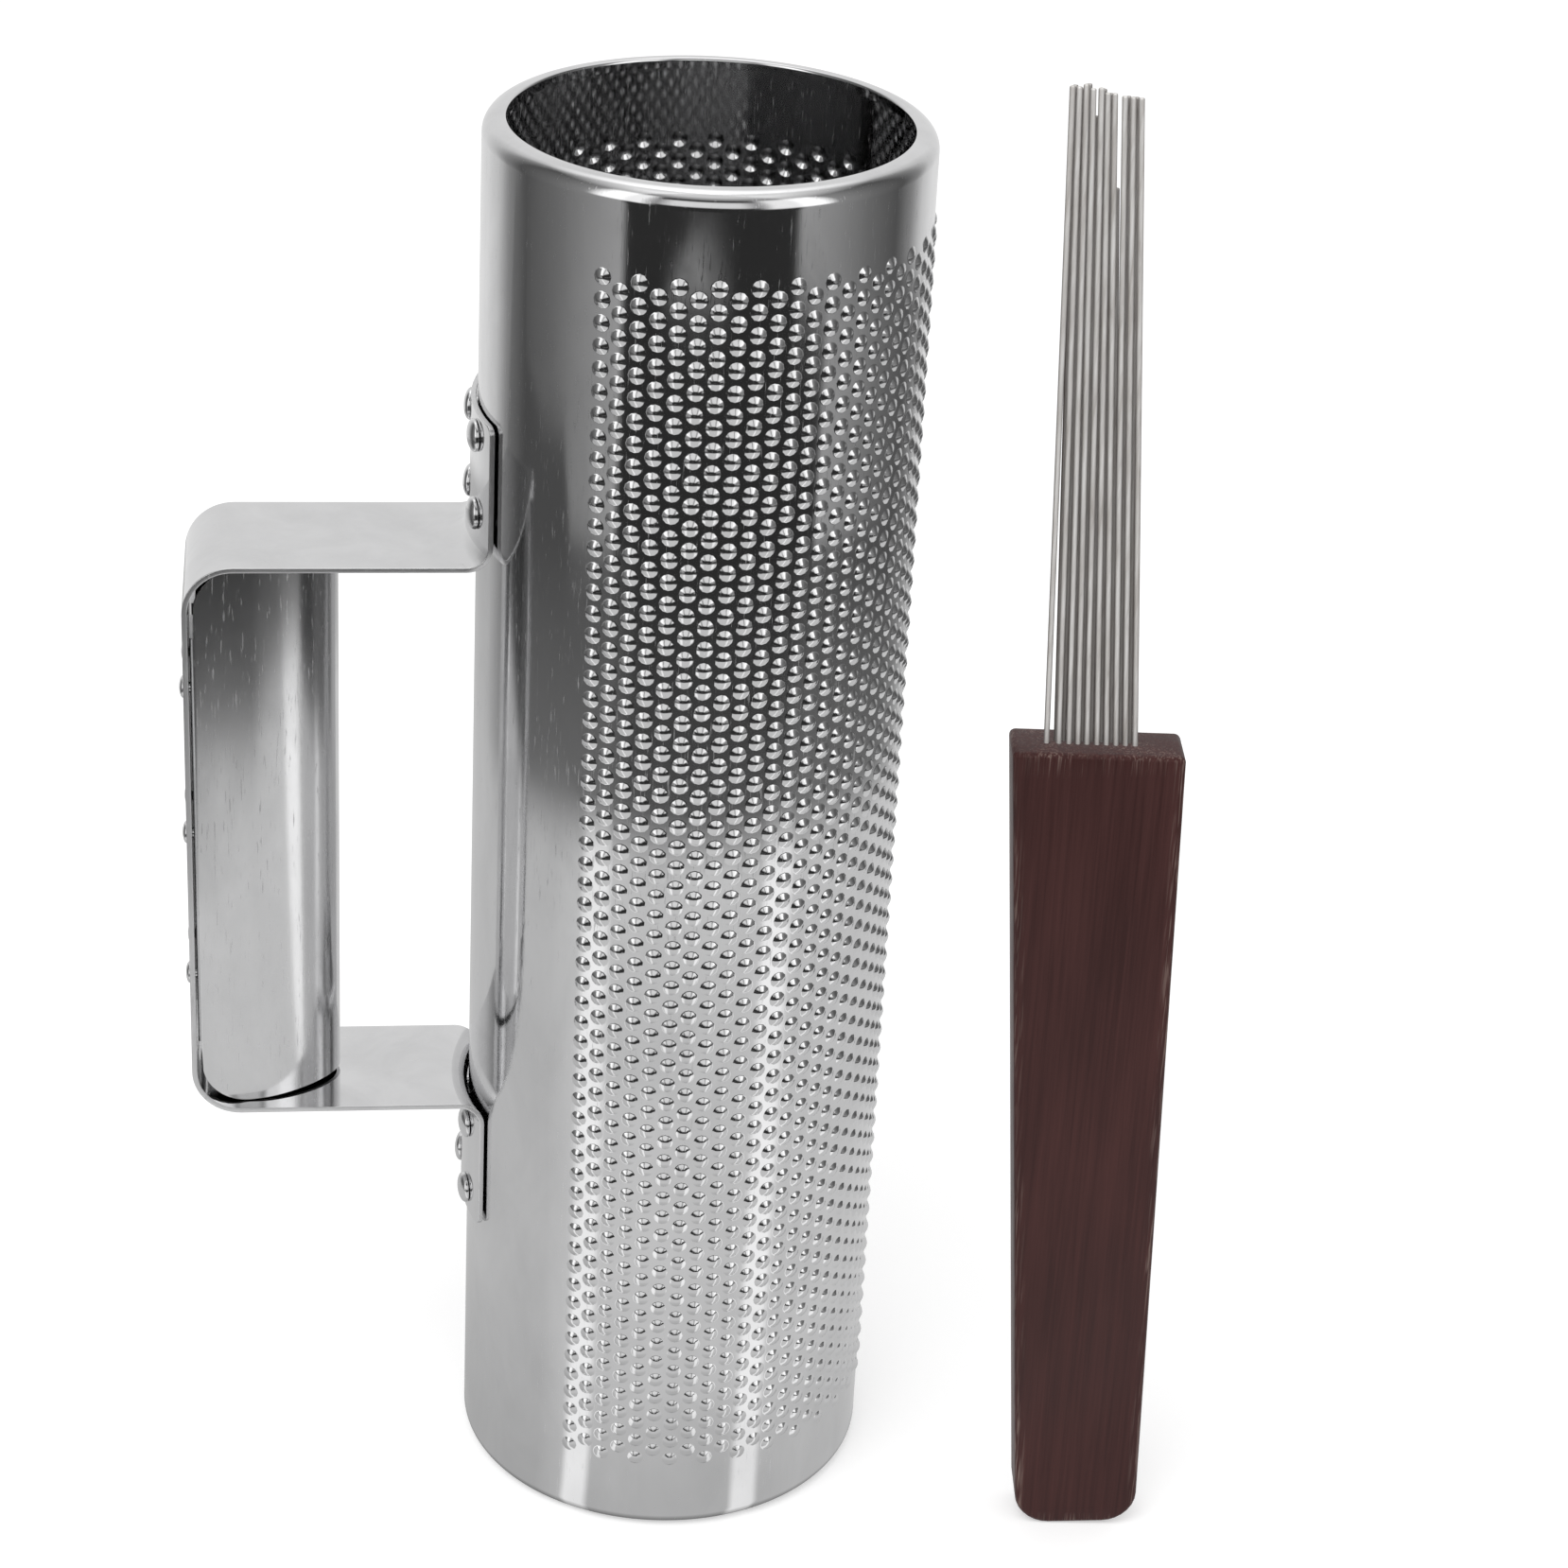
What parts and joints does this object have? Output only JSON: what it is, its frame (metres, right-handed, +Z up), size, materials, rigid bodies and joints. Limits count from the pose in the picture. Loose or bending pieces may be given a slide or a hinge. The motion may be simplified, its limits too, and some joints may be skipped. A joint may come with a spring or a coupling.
{
  "type": "metal guiro",
  "caption": "Open polished steel tube covered with raised beads, held by a riveted strap handle, with a wooden-handled bundle of steel wires that scrapes it.",
  "frame": {"origin": "centre of the set's bounding box, on the surface that the tube and the scraper stand on", "axes": "+Z up along the tube, -X from the tube towards the handle, +X towards the scraper, and -Y towards the viewer"},
  "size_m": [0.2234, 0.1018, 0.3522],
  "materials": {
    "polished_steel": "polished",
    "spring_wire": "satin",
    "stained_wood": "stained and worn"
  },
  "bodies": {
    "guiro": {"tube_body": "polished_steel", "handle_strap": "polished_steel", "grip_shell": "polished_steel", "upper_foot_rivet_1": "polished_steel", "upper_foot_rivet_2": "polished_steel", "upper_foot_rivet_3": "polished_steel", "upper_foot_rivet_4": "polished_steel", "lower_foot_rivet_1": "polished_steel", "lower_foot_rivet_2": "polished_steel", "lower_foot_rivet_3": "polished_steel", "lower_foot_rivet_4": "polished_steel", "grip_rivet_1": "polished_steel", "grip_rivet_2": "polished_steel", "grip_rivet_3": "polished_steel", "grip_rivet_4": "polished_steel", "grip_rivet_5": "polished_steel", "grip_rivet_6": "polished_steel"},
    "scraper": {"scraper_handle": "stained_wood", "scraper_tine_01": "spring_wire", "scraper_tine_02": "spring_wire", "scraper_tine_03": "spring_wire", "scraper_tine_04": "spring_wire", "scraper_tine_05": "spring_wire", "scraper_tine_06": "spring_wire", "scraper_tine_07": "spring_wire", "scraper_tine_08": "spring_wire", "scraper_tine_09": "spring_wire", "scraper_tine_10": "spring_wire", "scraper_tine_11": "spring_wire", "scraper_tine_12": "spring_wire", "scraper_tine_13": "spring_wire", "scraper_tine_14": "spring_wire", "scraper_tine_15": "spring_wire", "scraper_tine_16": "spring_wire", "scraper_tine_17": "spring_wire", "scraper_tine_18": "spring_wire", "scraper_tine_19": "spring_wire"}
  },
  "joints": [
    {"name": "scraper_lift", "type": "slide", "parent": "guiro", "child": "scraper", "axis": [0, 0, 1], "range_m": [0, 0.36]}
  ]
}
